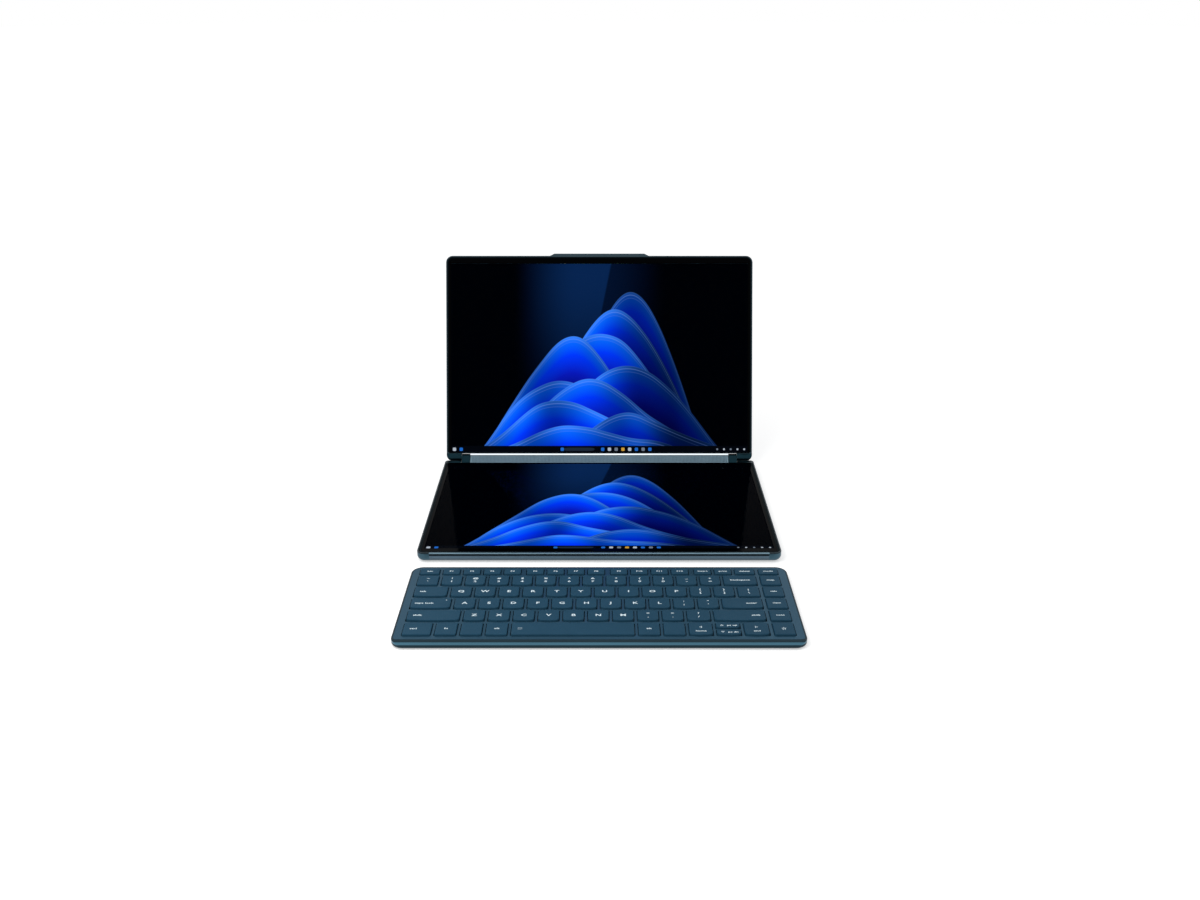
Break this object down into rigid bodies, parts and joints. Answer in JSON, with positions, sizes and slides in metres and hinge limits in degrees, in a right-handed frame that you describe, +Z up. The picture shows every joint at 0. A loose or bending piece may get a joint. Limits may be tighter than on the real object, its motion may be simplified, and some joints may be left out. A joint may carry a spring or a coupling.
{
  "type": "dual-screen laptop",
  "caption": "Thin laptop whose two equal touch screens hinge on a central speaker bar, with a separate low keyboard lying in front.",
  "frame": {"origin": "on the table, under the middle of the whole object's bounding box", "axes": "+X to the user's right, +Y away from the user, +Z up"},
  "size_m": [0.2994, 0.408, 0.1961],
  "materials": {
    "teal_anodised_aluminium": "satin, anodised",
    "dark_frame": "satin",
    "screen_glass": "polished",
    "display_panel": "emissive picture under glass",
    "hinge_aluminium": "satin, anodised",
    "hinge_steel": "ground",
    "polished_strip": "polished",
    "grille_metal": "perforated, satin",
    "speaker_plastic": "matt",
    "circuit_board": "solder mask",
    "battery_foil": "foil sleeve",
    "fan_plastic": "matt",
    "heat_copper": "copper, plain",
    "socket_steel": "plain",
    "rubber_feet": "matt",
    "screw_steel": "blackened",
    "button_aluminium": "satin, anodised",
    "key_plastic": "fine matt",
    "membrane_film": "film"
  },
  "bodies": {
    "base": {"base_cover": "teal_anodised_aluminium", "base_frame": "dark_frame", "base_glass": "screen_glass", "base_display_panel": "display_panel", "base_hinge_left": "hinge_aluminium", "base_hinge_right": "hinge_aluminium", "base_hinge_shafts": "hinge_steel", "base_sync_gears": "hinge_steel", "main_board": "circuit_board", "storage_drive": "circuit_board", "battery_pack": "battery_foil", "fan_housing": "fan_plastic", "heat_sink": "heat_copper", "usb_c_sockets": "socket_steel", "base_feet": "rubber_feet", "base_screws": "screw_steel"},
    "soundbar": {"soundbar_housing": "teal_anodised_aluminium", "soundbar_trim": "polished_strip", "soundbar_grille": "grille_metal", "soundbar_speakers": "speaker_plastic", "soundbar_bearing_left": "hinge_aluminium", "soundbar_bearing_right": "hinge_aluminium"},
    "lower_idlers": {"lower_idler_gears": "hinge_steel"},
    "upper_idlers": {"upper_idler_gears": "hinge_steel"},
    "lid": {"lid_cover": "teal_anodised_aluminium", "lid_frame": "dark_frame", "lid_glass": "screen_glass", "lid_display_panel": "display_panel", "lid_hinge_left": "hinge_aluminium", "lid_hinge_right": "hinge_aluminium", "lid_hinge_shafts": "hinge_steel", "lid_sync_gears": "hinge_steel", "camera_module": "circuit_board", "display_board": "circuit_board"},
    "fan": {"fan_rotor": "fan_plastic"},
    "power_button": {"power_button": "button_aluminium"},
    "camera_switch": {"camera_switch": "button_aluminium"},
    "keyboard": {"keyboard_case": "teal_anodised_aluminium", "keyboard_deck": "teal_anodised_aluminium", "keyboard_membrane": "membrane_film", "keyboard_battery": "battery_foil", "keyboard_usb_c_socket": "socket_steel", "keyboard_feet": "rubber_feet"},
    "keyboard_switch": {"keyboard_switch": "button_aluminium"},
    "keys_function_row": {"keys_function_row": "key_plastic"},
    "keys_number_row": {"keys_number_row": "key_plastic"},
    "keys_upper_letters": {"keys_upper_letters": "key_plastic"},
    "keys_home_letters": {"keys_home_letters": "key_plastic"},
    "keys_lower_letters": {"keys_lower_letters": "key_plastic"},
    "keys_modifiers": {"keys_modifiers": "key_plastic"},
    "keys_side_column": {"keys_side_column": "key_plastic"},
    "keys_arrows": {"keys_arrows": "key_plastic"},
    "key_space": {"key_space": "key_plastic"},
    "key_backspace": {"key_backspace": "key_plastic"},
    "key_tab": {"key_tab": "key_plastic"},
    "key_caps_lock": {"key_caps_lock": "key_plastic"},
    "key_enter": {"key_enter": "key_plastic"},
    "key_shift_left": {"key_shift_left": "key_plastic"},
    "key_shift_right": {"key_shift_right": "key_plastic"}
  },
  "joints": [
    {"name": "bar_hinge", "type": "hinge", "parent": "base", "child": "soundbar", "pos_m": [0, 0.12563, 0.0047], "axis": [-1, 0, 0], "range_deg": [-55.2, 124.8]},
    {"name": "lid_hinge", "type": "hinge", "parent": "soundbar", "child": "lid", "pos_m": [0, 0.13269, 0.00961], "axis": [-1, 0, 0], "range_deg": [-55.2, 124.8]},
    {"name": "lower_idler_turn", "type": "hinge", "parent": "soundbar", "child": "lower_idlers", "pos_m": [0, 0.12889, 0.00583], "axis": [-1, 0, 0], "range_deg": [-85.88, 194.14]},
    {"name": "upper_idler_turn", "type": "hinge", "parent": "soundbar", "child": "upper_idlers", "pos_m": [0, 0.12943, 0.00848], "axis": [-1, 0, 0], "range_deg": [-194.14, 85.88]},
    {"name": "fan_spin", "type": "hinge", "parent": "base", "child": "fan", "pos_m": [-0.098, 0.08363, 0.0047], "axis": [0, 0, 1], "continuous": true},
    {"name": "power_press", "type": "slide", "parent": "base", "child": "power_button", "axis": [-1, 0, 0], "range_m": [0, 0.0005], "stiffness_N_per_m": 2000},
    {"name": "camera_switch_slide", "type": "slide", "parent": "base", "child": "camera_switch", "axis": [0, -1, 0], "range_m": [0, 0.0015]},
    {"name": "keyboard_lift", "type": "slide", "parent": "base", "child": "keyboard", "axis": [0, 0, 1], "range_m": [0, 0.1]},
    {"name": "keyboard_switch_slide", "type": "slide", "parent": "keyboard", "child": "keyboard_switch", "axis": [0, -1, 0], "range_m": [0, 0.002]},
    {"name": "keys_function_row_press", "type": "slide", "parent": "keyboard", "child": "keys_function_row", "axis": [0, 0, -1], "range_m": [0, 0.0012], "stiffness_N_per_m": 6800},
    {"name": "keys_number_row_press", "type": "slide", "parent": "keyboard", "child": "keys_number_row", "axis": [0, 0, -1], "range_m": [0, 0.0012], "stiffness_N_per_m": 5200},
    {"name": "keys_upper_letters_press", "type": "slide", "parent": "keyboard", "child": "keys_upper_letters", "axis": [0, 0, -1], "range_m": [0, 0.0012], "stiffness_N_per_m": 5200},
    {"name": "keys_home_letters_press", "type": "slide", "parent": "keyboard", "child": "keys_home_letters", "axis": [0, 0, -1], "range_m": [0, 0.0012], "stiffness_N_per_m": 4400},
    {"name": "keys_lower_letters_press", "type": "slide", "parent": "keyboard", "child": "keys_lower_letters", "axis": [0, 0, -1], "range_m": [0, 0.0012], "stiffness_N_per_m": 4000},
    {"name": "keys_modifiers_press", "type": "slide", "parent": "keyboard", "child": "keys_modifiers", "axis": [0, 0, -1], "range_m": [0, 0.0012], "stiffness_N_per_m": 2400},
    {"name": "keys_side_column_press", "type": "slide", "parent": "keyboard", "child": "keys_side_column", "axis": [0, 0, -1], "range_m": [0, 0.0012], "stiffness_N_per_m": 2000},
    {"name": "keys_arrows_press", "type": "slide", "parent": "keyboard", "child": "keys_arrows", "axis": [0, 0, -1], "range_m": [0, 0.0012], "stiffness_N_per_m": 1600},
    {"name": "key_space_press", "type": "slide", "parent": "keyboard", "child": "key_space", "axis": [0, 0, -1], "range_m": [0, 0.0012], "stiffness_N_per_m": 400},
    {"name": "key_backspace_press", "type": "slide", "parent": "keyboard", "child": "key_backspace", "axis": [0, 0, -1], "range_m": [0, 0.0012], "stiffness_N_per_m": 400},
    {"name": "key_tab_press", "type": "slide", "parent": "keyboard", "child": "key_tab", "axis": [0, 0, -1], "range_m": [0, 0.0012], "stiffness_N_per_m": 400},
    {"name": "key_caps_lock_press", "type": "slide", "parent": "keyboard", "child": "key_caps_lock", "axis": [0, 0, -1], "range_m": [0, 0.0012], "stiffness_N_per_m": 400},
    {"name": "key_enter_press", "type": "slide", "parent": "keyboard", "child": "key_enter", "axis": [0, 0, -1], "range_m": [0, 0.0012], "stiffness_N_per_m": 400},
    {"name": "key_shift_left_press", "type": "slide", "parent": "keyboard", "child": "key_shift_left", "axis": [0, 0, -1], "range_m": [0, 0.0012], "stiffness_N_per_m": 400},
    {"name": "key_shift_right_press", "type": "slide", "parent": "keyboard", "child": "key_shift_right", "axis": [0, 0, -1], "range_m": [0, 0.0012], "stiffness_N_per_m": 400}
  ],
  "couplings": [
    {"joint": "lid_hinge", "follows": "bar_hinge", "ratio": 1},
    {"joint": "lower_idler_turn", "follows": "bar_hinge", "ratio": 1.5556},
    {"joint": "upper_idler_turn", "follows": "bar_hinge", "ratio": -1.5556}
  ]
}
